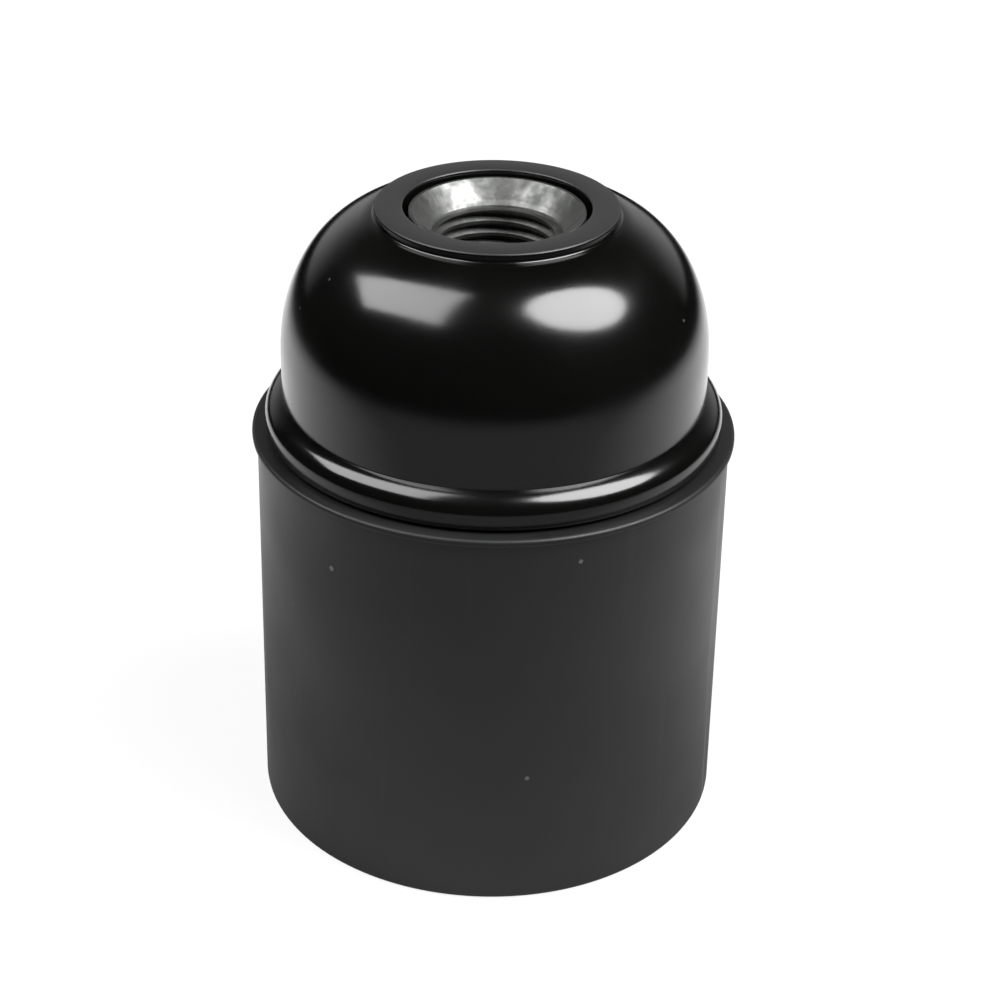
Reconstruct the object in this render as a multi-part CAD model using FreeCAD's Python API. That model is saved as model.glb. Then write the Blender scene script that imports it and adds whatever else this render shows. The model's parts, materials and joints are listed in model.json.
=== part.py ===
import FreeCAD
import Part

import math
import os

# A three-part lamp holder for the 27 mm Edison screw cap, moulded in phenolic, standing on its mouth.
# The dome cap screws into the skirt and clamps a ceramic contact carrier between them.
# Millimetres. The origin is the centre of the mouth's rim, and +Z runs up through the wire entry.

# Skirt: the outer sleeve
skirt_height = 33.2
mouth_radius = 19.0
skirt_draft = 0.23            # the wall is this much slimmer at its top
mouth_wall = 2.1
mouth_depth = 11.5            # plain recess round the lamp's neck, below the lamp thread
mouth_edge_bevel = 0.3
lip_overhang = 0.41           # thin lip round the top rim
lip_height = 0.5
lip_bevel = 0.15
pocket_depth = 10.0           # coring between the outer wall and the threaded tube
pocket_ribs = 6
pocket_rib_width = 1.6
pocket_rib_setback = 0.8      # rib behind the tube's end
rib_bite = 0.3                # how far a rib runs into what it joins
ledge_height = 24.0           # the shoulder that carries the ceramic, above the mouth's rim

# Lamp thread: 27 mm Edison, seven turns per inch, female in the skirt
lamp_pitch = 25.4 / 7
lamp_major_radius = 13.35
lamp_minor_radius = 12.25
lamp_tube_wall = 1.6
lamp_lead_in = 0.9
lamp_lead_gap = 0.1           # lead-in beyond the thread's roots
lamp_flat_share = 0.25        # where the crest's flats break, as a share of its quarter of the form
lamp_slope_share = 0.8

# Housing thread: coarse, male on the cap's collar and female in the skirt
house_pitch = 2.5
house_wall = 1.57             # skirt wall left behind the thread
house_tooth_height = 0.8
house_tooth_tip = 0.55        # width of the male tooth's crest
house_flank = math.radians(30)
house_gap = 0.25              # all round the mating teeth
house_thread_length = 5.4
house_thread_end = 0.75       # from the male thread's lower end to the collar's end
house_thread_step = 0.1       # the plain wall beyond each thread stands this far behind its flats

# Dome cap
rim_gap = 0.45                # shadow gap between the skirt's rim and the cap's flange
flange_overhang = 1.36        # flange beyond the dome's wall
flange_height = 2.6
flange_round = 1.05
flange_edge_bevel = 0.15
dome_radius = 16.74
dome_straight = 3.41          # upright wall above the flange
dome_rise = 12.05             # half axis of the dome's curve
dome_power = 3.69             # exponent of the dome's curve: 2 would be an ellipse
dome_wall = 2.1
collar_wall = 1.75
boss_radius = 9.4
boss_foot = 0.44              # how far the boss's foot fillet spreads
boss_height = 0.72
boss_edge_bevel = 0.15
hub_radius = 9.0
hub_depth = 3.75              # thickness of the hub that carries the bush
crown_thickness = 3.2         # moulding thickness above the inner dome's ceiling
crown_fall = 0.6              # how far the ceiling drops from the hub to its outer edge
crown_share = 0.74            # the ceiling's edge, as a share of the inner radius
haunch_share = 0.93           # the shoulder below it, as shares of the inner radius and the rise
haunch_rise = 0.4
collar_shoulder = 1.0         # slope from the collar's bore out to the inner dome
key_width = 2.8
key_count = 2
key_height = 6.2
key_setback = 0.4             # key behind the collar's end

# Entry bush: zinc-plated steel, threaded M10 x 1 for the support tube
bush_head_radius = 6.78
bush_head_gap = 0.42
bush_head_height = 1.9
bush_recess = 0.4             # bush rim below the boss face
bush_rim_width = 0.28
bush_funnel_radius = 5.43
bush_funnel_depth = 1.4
bush_throat_radius = 5.0
bush_throat_depth = 0.7
entry_bore_radius = 4.46      # minor radius of M10 x 1
entry_bore_chamfer = 0.35
bush_shank_radius = 5.9
bush_flat = 5.35              # half the width across the two flats that stop it turning
bush_fit = 0.1
bush_tail = 0.4               # shank beyond the collar nut

# Collar nut under the hub, with the lock screw for the support tube
nut_across_flats = 15.0
nut_height = 4.6
nut_fit = 0.03
nut_crown = 0.65              # how far the hexagon's corners are turned back
nut_corner_gap = 0.05
lock_screw_radius = 1.95
lock_screw_length = 3.6
lock_screw_fit = 0.05
lock_screw_setback = 0.2      # point of the lock screw behind the entry bore's wall
lock_point = 0.65
lock_slot_width = 0.7
lock_slot_depth = 1.0

# Ceramic contact carrier
carrier_gap = 0.3             # to the skirt's thread and the cap's collar
flange_thickness = 2.6
carrier_height = 7.4          # block above the flange
carrier_bevel = 0.4
recess_radius = 11.6
recess_depth = 1.2
key_gap = 0.2
key_depth = 1.5               # from the collar's bore in to the key's face
barrier_half = 3.0            # half the wall between the two terminal pockets
pocket_length = 7.6
pocket_width = 13.2
pocket_floor = 3.8            # ceramic between the contact recess and the terminal pockets

# Terminals
plate_length = 6.2
plate_width = 12.0
plate_thickness = 1.4
plate_inset = 0.7             # pocket wall to plate
plate_corner = 1.0
screw_offset = -2.6           # along the plate, from its middle
rivet_offset = 3.6
clamp_size = 6.0
clamp_thickness = 1.0
clamp_corner = 0.8
screw_radius = 1.75
screw_fit = 0.05
screw_head_radius = 2.9
screw_head_height = 2.2
screw_head_bevel = 0.3
screw_tail = 2.6              # shank below the plate
screw_tip_share = 0.75        # radius of the shank's tip
screw_tip_height = 0.44
screw_slot_width = 0.8
screw_slot_depth = 1.1
screw_hole_gap = 0.35
rivet_radius = 1.2
rivet_fit = 0.05
rivet_head_radius = 1.7
rivet_head_height = 0.6

# Spring contacts
contact_thickness = 0.45
contact_width = 4.6
contact_bend = 0.8
foot_overlap = 2.2            # foot of the strip beyond the rivet's axis
contact_head_gap = 0.15       # rivet head to the start of a bend
centre_drop = 3.2             # tip of the centre contact below the carrier's recess
centre_reach = 1.2            # tip of the centre contact past the holder's axis
centre_curl = 1.4             # upturned end of the centre contact
centre_curl_rise = 0.9
side_drop = 6.6
side_tip_radius = 10.7
side_curl = 0.9               # end of the side contact, turned in towards the lamp
side_curl_rise = 1.2

cut_margin = 1.0              # cutting tools run this far past what they cut

z_axis = FreeCAD.Vector(0, 0, 1)
origin = FreeCAD.Vector(0, 0, 0)

# Radii that follow from the skirt inwards
skirt_top_radius = mouth_radius - skirt_draft
mouth_recess_radius = mouth_radius - mouth_wall
lamp_tube_radius = lamp_major_radius + lamp_tube_wall
house_female_major = skirt_top_radius - house_wall
house_female_minor = house_female_major - house_tooth_height
house_male_major = house_female_major - house_gap
house_male_minor = house_female_minor - house_gap
house_relief_radius = house_female_minor + house_thread_step
collar_radius = house_male_minor - house_thread_step
collar_bore_radius = house_male_minor - collar_wall
carrier_flange_radius = house_female_minor - carrier_gap
carrier_radius = collar_bore_radius - carrier_gap
flange_radius = dome_radius + flange_overhang
boss_hole_radius = bush_head_radius + bush_head_gap

# Heights that follow from the mouth upwards
collar_end = ledge_height + flange_thickness
flange_underside = skirt_height + rim_gap
flange_top = flange_underside + flange_height
dome_spring = flange_top + dome_straight
recess_ceiling = ledge_height + recess_depth
pocket_bottom = recess_ceiling + pocket_floor
plate_top = pocket_bottom + plate_thickness
clamp_top = plate_top + clamp_thickness


def dome_point(angle):
    """A point (radius, height) on the dome's curve, 0 at the wall and pi/2 at the axis."""
    radius = dome_radius * math.cos(angle) ** (2 / dome_power)
    return radius, dome_spring + dome_rise * math.sin(angle)


foot_angle = math.acos(((boss_radius + boss_foot) / dome_radius) ** (dome_power / 2))
foot_height = dome_point(foot_angle)[1]
boss_top = foot_height + boss_height
hub_seat = boss_top - bush_recess - bush_head_height
hub_bottom = hub_seat - hub_depth
nut_bottom = hub_bottom - nut_height
lock_height = hub_bottom - nut_height / 2
terminal_x = barrier_half + plate_inset + plate_length / 2
screw_place = (terminal_x, screw_offset)
rivet_place = (terminal_x, rivet_offset)
rivet_radial = math.hypot(*rivet_place)
rivet_angle = math.degrees(math.atan2(rivet_offset, terminal_x))


# Helpers

def at(radius, height):
    return FreeCAD.Vector(radius, 0, height)


def lines(points):
    """Straight edges through (radius, height) points."""
    return [Part.makeLine(at(*a), at(*b)) for a, b in zip(points, points[1:])]


def arc_points(centre, radius, first, last, chords):
    """Points along an arc of the outline, for a round edge made of a few bevels."""
    angles = [first + (last - first) * n / chords for n in range(chords + 1)]
    across, up = centre
    return [(across + radius * math.cos(angle), up + radius * math.sin(angle)) for angle in angles]


def face_of(edges):
    return Part.Face(Part.Wire(Part.__sortEdges__(edges)))


def turned(points):
    """A solid of revolution about Z from a closed outline of (radius, height) points."""
    return face_of(lines(points + points[:1])).revolve(origin, z_axis, 360)


def rod(radius, low, high):
    return Part.makeCylinder(radius, high - low, FreeCAD.Vector(0, 0, low))


def bevelled_rims(shape, size, *rims):
    """Bevel the circular edges about Z that have the given (radius, height) pairs."""
    edges = []
    for edge in shape.Edges:
        if not isinstance(edge.Curve, Part.Circle):
            continue
        centre = edge.Curve.Center
        for radius, height in rims:
            on_axis = math.hypot(centre.x, centre.y) < 1e-6
            if on_axis and abs(edge.Curve.Radius - radius) < 1e-6 and abs(centre.z - height) < 1e-6:
                edges.append(edge)
    return shape.makeChamfer(size, edges)


def upright_edges(shape):
    """The straight edges that run parallel to Z."""
    found = []
    for edge in shape.Edges:
        ends = [vertex.Point for vertex in edge.Vertexes]
        if len(ends) == 2 and isinstance(edge.Curve, Part.Line):
            along = ends[1] - ends[0]
            if math.hypot(along.x, along.y) < 1e-6:
                found.append(edge)
    return found


def block(length, width, low, high, middle=(0, 0)):
    corner = FreeCAD.Vector(middle[0] - length / 2, middle[1] - width / 2, low)
    return Part.makeBox(length, width, high - low, corner)


def turned_about_z(shape, degrees):
    copy = shape.copy()
    copy.rotate(origin, z_axis, degrees)
    return copy


def both_sides(shape):
    """The shape and its copy half a turn round the axis."""
    return [shape, turned_about_z(shape, 180)]


# Screw threads

strips_per_turn = 3
points_per_strip = 8


def helix_edge(radius, height, pitch, start, stop):
    """Part of a right-hand helix between two counts of turns from the +X side."""
    points = []
    for step in range(points_per_strip + 1):
        turns = start + (stop - start) * step / points_per_strip
        angle = 2 * math.pi * turns
        x, y = radius * math.cos(angle), radius * math.sin(angle)
        points.append(FreeCAD.Vector(x, y, height + pitch * turns))
    curve = Part.BSplineCurve()
    curve.interpolate(points)
    return curve.toShape()


def thread_surface(profile, pitch, low, high):
    """The open surface swept by one pitch's (radius, height) profile, past both heights."""
    first = math.floor(low / pitch) - 2
    last = math.ceil(high / pitch) + 1
    faces = []
    for strip in range(first * strips_per_turn, last * strips_per_turn):
        span = strip / strips_per_turn, (strip + 1) / strips_per_turn
        edges = [helix_edge(radius, height, pitch, *span) for radius, height in profile]
        faces += [Part.makeRuledSurface(a, b) for a, b in zip(edges, edges[1:])]
    surface = Part.Compound(faces)
    surface.sewShape(1e-4)
    return surface.Shells[0]


def one_pitch(points, pitch):
    """Close a profile onto its own next turn."""
    return points + [(points[0][0], points[0][1] + pitch)]


def lamp_profile():
    """The lamp thread's round form, its crests and roots taken as three flats each."""
    depth = lamp_major_radius - lamp_minor_radius
    arc = (depth ** 2 + (lamp_pitch / 2) ** 2) / (4 * depth)
    crest = lamp_minor_radius + arc
    root = lamp_major_radius - arc
    lean = math.atan2(lamp_pitch / 2, crest - root)
    flat = lean * lamp_flat_share
    slope = lean * lamp_slope_share
    points = []
    for angle in (flat, slope):
        points.append((crest - arc * math.cos(angle), arc * math.sin(angle) - lamp_pitch / 2))
    for angle in (-slope, -flat, flat, slope):
        points.append((root + arc * math.cos(angle), arc * math.sin(angle)))
    for angle in (slope, flat):
        points.append((crest - arc * math.cos(angle), lamp_pitch / 2 - arc * math.sin(angle)))
    return one_pitch(points, lamp_pitch)


def house_profile(minor, major, tip):
    """A trapezoid tooth that stands out from the minor radius, tip wide at the major one."""
    foot = tip / 2 + (major - minor) * math.tan(house_flank)
    points = [(minor, -foot), (major, -tip / 2), (major, tip / 2), (minor, foot)]
    return one_pitch(points, house_pitch)


def split(blank, surface, outside):
    """Cut a ring along a thread's surface, and keep its outer or its inner piece."""
    pieces = blank.generalFuse([surface])[0].Solids
    pieces.sort(key=lambda piece: piece.BoundBox.XMax)
    return pieces[-1] if outside else pieces[0]


def ring(inner, outer, low, high):
    return rod(outer, low, high).cut(rod(inner, low, high))


# Housing

house_male_low = collar_end + house_thread_end
house_male_high = house_male_low + house_thread_length
house_female_low = house_male_low - house_gap
thread_backing = 0.8          # depth of the ring that each thread is cut in, behind its roots
dome_spans = 8                # spans of the spline that stands for the dome's curve


def lamp_thread():
    """The lamp thread's ring, with a lead-in at the mouth's end."""
    surface = thread_surface(lamp_profile(), lamp_pitch, mouth_depth, ledge_height)
    inner, outer = lamp_minor_radius - cut_margin, lamp_major_radius + thread_backing
    blank = ring(inner, outer, mouth_depth, ledge_height)
    lead_radius = lamp_major_radius + lamp_lead_gap
    lead_in = turned([
        (0, mouth_depth - cut_margin), (lead_radius + cut_margin, mouth_depth - cut_margin),
        (lead_radius - lamp_lead_in, mouth_depth + lamp_lead_in), (0, mouth_depth + lamp_lead_in),
    ])
    return split(blank, surface, outside=True).cut(lead_in)


def house_female_thread():
    """The skirt's half of the housing thread: the male tooth grown by the gap all round."""
    growth = house_gap * (1 / math.cos(house_flank) - math.tan(house_flank))
    tip = house_tooth_tip + 2 * growth
    profile = house_profile(house_female_minor, house_female_major, tip)
    surface = thread_surface(profile, house_pitch, house_female_low, skirt_height)
    inner = house_male_minor - cut_margin
    blank = ring(inner, house_female_major + thread_backing, house_female_low, skirt_height)
    return split(blank, surface, outside=True)


def skirt():
    lip_radius = skirt_top_radius + lip_overhang
    body = turned([
        (mouth_radius, 0), (skirt_top_radius, skirt_height - lip_height),
        (lip_radius, skirt_height - lip_height), (lip_radius, skirt_height),
        (house_female_major + thread_backing, skirt_height),
        (house_female_major + thread_backing, house_female_low),
        (house_relief_radius, house_female_low), (house_relief_radius, ledge_height),
        (lamp_major_radius + thread_backing, ledge_height),
        (lamp_major_radius + thread_backing, mouth_depth),
        (lamp_tube_radius, mouth_depth), (lamp_tube_radius, mouth_depth + pocket_depth),
        (mouth_recess_radius, mouth_depth + pocket_depth), (mouth_recess_radius, 0),
    ])
    lip_rims = (lip_radius, skirt_height), (lip_radius, skirt_height - lip_height)
    body = bevelled_rims(body, lip_bevel, *lip_rims)
    body = bevelled_rims(body, mouth_edge_bevel, (mouth_radius, 0), (mouth_recess_radius, 0))
    rib_length = mouth_recess_radius - lamp_tube_radius + 2 * rib_bite
    rib_middle = (mouth_recess_radius + lamp_tube_radius) / 2
    rib_top = mouth_depth + pocket_depth + rib_bite
    rib = block(rib_length, pocket_rib_width, mouth_depth + pocket_rib_setback, rib_top, (rib_middle, 0))
    ribs = [turned_about_z(rib, 360 * n / pocket_ribs) for n in range(pocket_ribs)]
    return body.fuse([lamp_thread(), house_female_thread()] + ribs).removeSplitter()


def dome_curve():
    """Spline edge along the dome's curve, from its wall to the boss's foot."""
    points = [at(*dome_point(foot_angle * n / dome_spans)) for n in range(dome_spans + 1)]
    curve = Part.BSplineCurve()
    curve.interpolate(points)
    return curve.toShape()


def cap_body():
    """The cap's moulding, turned, with its collar left smooth just inside the thread's roots."""
    foot = dome_point(foot_angle)
    inner_radius = dome_radius - dome_wall
    ceiling = boss_top - crown_thickness
    centre = (flange_radius - flange_round, flange_top - flange_round)
    flange_edge = arc_points(centre, flange_round, 0, math.pi / 2, 3)
    outer = lines([
        (collar_bore_radius, collar_end), (collar_radius, collar_end), (collar_radius, flange_underside),
        (flange_radius, flange_underside),
    ] + flange_edge + [(dome_radius, flange_top), (dome_radius, dome_spring)])
    top = lines([foot, (boss_radius, foot_height), (boss_radius, boss_top), (boss_hole_radius, boss_top),
                 (boss_hole_radius, hub_seat), (bush_shank_radius + bush_fit, hub_seat),
                 (bush_shank_radius + bush_fit, hub_bottom), (hub_radius, hub_bottom),
                 (hub_radius, ceiling)])
    inside = lines([
        (hub_radius, ceiling), (inner_radius * crown_share, ceiling - crown_fall),
        (inner_radius * haunch_share, dome_spring + dome_rise * haunch_rise),
        (inner_radius, dome_spring), (inner_radius, skirt_height + collar_shoulder),
        (collar_bore_radius, skirt_height), (collar_bore_radius, collar_end),
    ])
    body = face_of(outer + [dome_curve()] + top + inside)
    body = body.revolve(origin, z_axis, 360)
    body = bevelled_rims(body, flange_edge_bevel, (flange_radius, flange_underside))
    return bevelled_rims(body, boss_edge_bevel, (boss_radius, boss_top), (boss_radius, foot_height))


def house_male_thread():
    profile = house_profile(house_male_minor, house_male_major, house_tooth_tip)
    surface = thread_surface(profile, house_pitch, house_male_low, house_male_high)
    outer = house_male_major + cut_margin
    blank = ring(house_male_minor - thread_backing, outer, house_male_low, house_male_high)
    return split(blank, surface, outside=False)


def key():
    """A rib in the collar that turns the ceramic with the cap."""
    inner = collar_bore_radius - key_depth
    length = collar_wall / 2 + key_depth
    low = collar_end + key_setback
    return block(length, key_width, low, low + key_height, (inner + length / 2, 0))


def flats(half_width, low, high):
    """What lies outside a pair of flats on the bush's shank."""
    reach = 4 * bush_head_radius
    slab = Part.makeBox(reach, reach, high - low, FreeCAD.Vector(-reach / 2, half_width, low))
    return both_sides(slab)


def dome_cap():
    body = cap_body()
    shank_room = rod(bush_shank_radius + bush_fit, hub_bottom, hub_seat)
    flat_fill = [shank_room.common(side) for side in flats(bush_flat + bush_fit, hub_bottom, hub_seat)]
    keys = [turned_about_z(key(), 90 + 360 * n / key_count) for n in range(key_count)]
    return body.fuse(keys + flat_fill).removeSplitter().fuse(house_male_thread()).removeSplitter()


# Wire entry

def lock_axis_rod(radius, start, stop):
    base = FreeCAD.Vector(start, 0, lock_height)
    return Part.makeCylinder(radius, stop - start, base, FreeCAD.Vector(1, 0, 0))


def entry_bush():
    rim = boss_top - bush_recess
    funnel = rim - bush_funnel_depth
    throat = funnel - bush_throat_depth
    bore_top = throat - entry_bore_chamfer
    body = turned([
        (bush_head_radius - bush_rim_width, rim), (bush_head_radius, rim), (bush_head_radius, hub_seat),
        (bush_shank_radius, hub_seat), (bush_shank_radius, nut_bottom - bush_tail),
        (entry_bore_radius, nut_bottom - bush_tail), (entry_bore_radius, bore_top),
        (bush_throat_radius, throat), (bush_funnel_radius, funnel),
    ])
    body = bevelled_rims(body, bush_rim_width / 2, (bush_head_radius, rim))
    for side in flats(bush_flat, nut_bottom - bush_tail, hub_seat):
        body = body.cut(side)
    return body.cut(lock_axis_rod(lock_screw_radius + lock_screw_fit, 0, 2 * bush_head_radius))


def lock_collar():
    corner_radius = nut_across_flats / math.sqrt(3)
    corners = [FreeCAD.Vector(corner_radius, 0, nut_bottom)]
    corners = [turned_about_z(Part.Vertex(corners[0]), 30 + 60 * n).Point for n in range(7)]
    nut = Part.Face(Part.makePolygon(corners)).extrude(FreeCAD.Vector(0, 0, nut_height))
    crown = turned([
        (0, nut_bottom), (nut_across_flats / 2, nut_bottom),
        (corner_radius + nut_corner_gap, nut_bottom + nut_crown),
        (corner_radius + nut_corner_gap, hub_bottom - nut_crown),
        (nut_across_flats / 2, hub_bottom), (0, hub_bottom),
    ])
    bore = rod(bush_shank_radius + nut_fit, nut_bottom, hub_bottom)
    tapping = lock_axis_rod(lock_screw_radius + lock_screw_fit, 0, 2 * corner_radius)
    return nut.common(crown).cut(bore).cut(tapping)


def lock_screw():
    start = entry_bore_radius + lock_screw_setback
    stop = start + lock_screw_length
    body = lock_axis_rod(lock_screw_radius, start, stop)
    slot = Part.makeBox(lock_slot_depth, 3 * lock_screw_radius, lock_slot_width,
                        FreeCAD.Vector(stop - lock_slot_depth, -1.5 * lock_screw_radius,
                                       lock_height - lock_slot_width / 2))
    body = body.cut(slot)
    point = [edge for edge in body.Edges if abs(edge.BoundBox.XMax - start) < 1e-6]
    return body.makeChamfer(lock_point, point)


# Ceramic carrier and its terminals

def post(radius, low, high, place):
    return Part.makeCylinder(radius, high - low, FreeCAD.Vector(place[0], place[1], low))


def contact_carrier():
    top = collar_end + carrier_height
    body = turned([
        (0, recess_ceiling), (recess_radius, recess_ceiling), (recess_radius, ledge_height),
        (carrier_flange_radius, ledge_height), (carrier_flange_radius, collar_end),
        (carrier_radius, collar_end), (carrier_radius, top), (0, top),
    ])
    body = bevelled_rims(body, carrier_bevel, (carrier_radius, top), (carrier_flange_radius, ledge_height))
    over = top + cut_margin
    pocket_middle = barrier_half + pocket_length / 2
    pocket = block(pocket_length, pocket_width, pocket_bottom, over, (pocket_middle, 0))
    pocket = pocket.makeFillet(plate_corner, upright_edges(pocket))
    tail_end = pocket_bottom - screw_tail - screw_hole_gap
    screw_hole = post(screw_radius + screw_hole_gap, tail_end, pocket_bottom + cut_margin, screw_place)
    rivet_hole = post(rivet_radius + rivet_fit, ledge_height, pocket_bottom + cut_margin, rivet_place)
    notch_floor = collar_bore_radius - key_depth - key_gap
    notch_length = carrier_radius - notch_floor + cut_margin
    notch_middle = notch_floor + notch_length / 2
    notch = block(notch_length, key_width + 2 * key_gap, collar_end, over, (notch_middle, 0))
    cuts = []
    for piece in (pocket, screw_hole, rivet_hole):
        cuts += both_sides(piece)
    cuts += [turned_about_z(notch, 90 + 360 * n / key_count) for n in range(key_count)]
    return body.cut(cuts)


def terminal_plate():
    plate = block(plate_length, plate_width, pocket_bottom, plate_top, (terminal_x, 0))
    plate = plate.makeFillet(plate_corner, upright_edges(plate))
    plate = plate.cut(post(screw_radius + screw_fit, pocket_bottom, plate_top, screw_place))
    return plate.cut(post(rivet_radius + rivet_fit, pocket_bottom, plate_top, rivet_place))


def terminal_rivet():
    """The rivet that ties a terminal plate to the contact under the ceramic."""
    foot_bottom = recess_ceiling - contact_thickness
    shank = post(rivet_radius, foot_bottom, plate_top, rivet_place)
    lower = post(rivet_head_radius, foot_bottom - rivet_head_height, foot_bottom, rivet_place)
    upper = post(rivet_head_radius, plate_top, plate_top + rivet_head_height, rivet_place)
    return shank.fuse([lower, upper])


def clamp_plate():
    plate = block(clamp_size, clamp_size, plate_top, clamp_top, screw_place)
    plate = plate.makeChamfer(clamp_corner, upright_edges(plate))
    return plate.cut(post(screw_radius + screw_fit, plate_top, clamp_top, screw_place))


def terminal_screw():
    head = rod(screw_head_radius, 0, screw_head_height)
    head = bevelled_rims(head, screw_head_bevel, (screw_head_radius, screw_head_height))
    slot_floor = screw_head_height - screw_slot_depth
    slot = block(3 * screw_head_radius, screw_slot_width, slot_floor, screw_head_height + cut_margin)
    length = clamp_top - pocket_bottom + screw_tail
    tip = screw_radius * screw_tip_share
    cone_top = (screw_radius, screw_tip_height - length)
    shank = turned([(0, -length), (tip, -length), cone_top, (screw_radius, 0), (0, 0)])
    screw = head.cut(slot).fuse(shank)
    screw.translate(FreeCAD.Vector(screw_place[0], screw_place[1], clamp_top))
    return screw


# Spring contacts

bend_offset = rivet_head_radius + contact_head_gap + contact_bend


def strip_outline(path, thickness, bend):
    """Edges round a strip of sheet that follows a path of (reach, height) points with round bends."""
    sides = {1: [], -1: []}
    for index, here in enumerate(path):
        if index in (0, len(path) - 1):
            other = path[1] if index == 0 else path[-2]
            sign = 1 if index == 0 else -1
            along = (sign * (other[0] - here[0]), sign * (other[1] - here[1]))
            size = math.hypot(*along)
            for side in sides:
                across = (-along[1] / size * side * thickness / 2, along[0] / size * side * thickness / 2)
                sides[side].append([at(here[0] + across[0], here[1] + across[1])])
            continue
        before, after = path[index - 1], path[index + 1]
        heading = math.atan2(here[1] - before[1], here[0] - before[0])
        turn = math.atan2(after[1] - here[1], after[0] - here[0]) - heading
        turn = math.atan2(math.sin(turn), math.cos(turn))
        hand = 1 if turn > 0 else -1
        run = bend * math.tan(abs(turn) / 2)
        start = (here[0] - run * math.cos(heading), here[1] - run * math.sin(heading))
        centre = (start[0] - hand * bend * math.sin(heading), start[1] + hand * bend * math.cos(heading))
        for side in sides:
            radius = bend - hand * side * thickness / 2
            arc = []
            for part in (0, 0.5, 1):
                angle = heading + turn * part
                reach = hand * radius
                arc.append(at(centre[0] + reach * math.sin(angle), centre[1] - reach * math.cos(angle)))
            sides[side].append(arc)
    edges = []
    for runs in sides.values():
        for points, following in zip(runs, runs[1:]):
            if len(points) == 3:
                edges.append(Part.Arc(*points).toShape())
            edges.append(Part.makeLine(points[-1], following[0]))
    for end in (0, -1):
        edges.append(Part.makeLine(sides[1][end][0], sides[-1][end][0]))
    return edges


def strip_contact(path):
    """A contact strip in the plane through its rivet, with its rivet hole."""
    face = face_of(strip_outline(path, contact_thickness, contact_bend))
    strip = face.extrude(FreeCAD.Vector(0, contact_width, 0))
    strip.translate(FreeCAD.Vector(0, -contact_width / 2, 0))
    low = recess_ceiling - contact_thickness - cut_margin
    hole = post(rivet_radius + rivet_fit, low, recess_ceiling + cut_margin, (rivet_radial, 0))
    return strip.cut(hole)


def centre_contact():
    level = recess_ceiling - contact_thickness / 2
    tip = recess_ceiling - centre_drop
    path = [
        (rivet_radial + foot_overlap, level), (rivet_radial - bend_offset, level),
        (centre_reach, tip), (-centre_reach, tip), (-centre_reach - centre_curl, tip + centre_curl_rise),
    ]
    return turned_about_z(strip_contact(path), rivet_angle)


def side_contact():
    level = recess_ceiling - contact_thickness / 2
    tip = recess_ceiling - side_drop
    path = [
        (rivet_radial - foot_overlap, level), (rivet_radial + bend_offset, level),
        (side_tip_radius, tip + side_curl_rise), (side_tip_radius - side_curl, tip),
    ]
    return turned_about_z(strip_contact(path), rivet_angle + 180)


def save(name, shape):
    shape.exportStep("parts/" + name + ".step")
    print(name, "faces", len(shape.Faces), "volume", round(shape.Volume, 1), "valid", shape.isValid())


def main():
    os.makedirs("parts", exist_ok=True)
    save("skirt", skirt())
    save("dome_cap", dome_cap())
    save("entry_bush", entry_bush())
    save("lock_collar", lock_collar())
    save("lock_screw", lock_screw())
    save("contact_carrier", contact_carrier())
    save("centre_contact", centre_contact())
    save("side_contact", side_contact())
    terminal_pieces = {
        "terminal": terminal_plate(), "rivet": terminal_rivet(),
        "clamp": clamp_plate(), "screw": terminal_screw(),
    }
    for name, shape in terminal_pieces.items():
        for pole, copy in zip(("live", "neutral"), both_sides(shape)):
            save(name + "_" + pole, copy)


main()
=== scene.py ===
import json
import math

import bpy
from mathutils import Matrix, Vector

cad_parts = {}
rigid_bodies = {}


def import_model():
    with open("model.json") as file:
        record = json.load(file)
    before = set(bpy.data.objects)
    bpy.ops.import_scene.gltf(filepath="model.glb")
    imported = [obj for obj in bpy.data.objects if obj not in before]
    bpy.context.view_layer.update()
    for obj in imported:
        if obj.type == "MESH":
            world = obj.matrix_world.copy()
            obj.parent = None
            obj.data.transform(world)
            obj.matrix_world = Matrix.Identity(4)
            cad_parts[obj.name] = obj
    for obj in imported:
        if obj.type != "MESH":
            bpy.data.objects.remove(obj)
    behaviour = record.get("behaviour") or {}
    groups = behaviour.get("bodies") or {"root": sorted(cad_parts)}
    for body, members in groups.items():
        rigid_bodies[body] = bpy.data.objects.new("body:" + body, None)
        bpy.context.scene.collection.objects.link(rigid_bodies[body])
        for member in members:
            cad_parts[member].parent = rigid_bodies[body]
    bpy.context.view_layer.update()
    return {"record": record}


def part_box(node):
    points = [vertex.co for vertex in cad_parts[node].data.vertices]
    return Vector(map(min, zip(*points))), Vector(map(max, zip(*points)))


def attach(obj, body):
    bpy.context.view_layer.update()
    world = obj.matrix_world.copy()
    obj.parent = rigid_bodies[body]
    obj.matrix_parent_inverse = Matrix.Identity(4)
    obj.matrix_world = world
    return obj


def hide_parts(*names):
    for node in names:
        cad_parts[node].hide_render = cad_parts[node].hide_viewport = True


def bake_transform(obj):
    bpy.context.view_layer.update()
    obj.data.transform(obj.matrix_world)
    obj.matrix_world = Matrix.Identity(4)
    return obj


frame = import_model()
mm = 0.001
axis = (0, 0, 0)
weldGap = 0.002 * mm      # points closer than this become one
levelGap = 0.004 * mm     # points this close in height are on one level
cutGap = 0.0001 * mm
blockEdge = 0.2 * mm


def deselectAll():
    if bpy.context.object and bpy.context.object.mode != "OBJECT":
        bpy.ops.object.mode_set(mode="OBJECT")
    bpy.ops.object.select_all(action="DESELECT")


def takeUp(piece):
    deselectAll()
    piece.select_set(True)
    bpy.context.view_layer.objects.active = piece


def settle(piece, name):
    # the object goes to the origin and its place goes into its mesh
    takeUp(piece)
    bpy.ops.object.transform_apply(location=True, rotation=True, scale=True)
    piece.name = name
    piece.data.name = name


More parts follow.
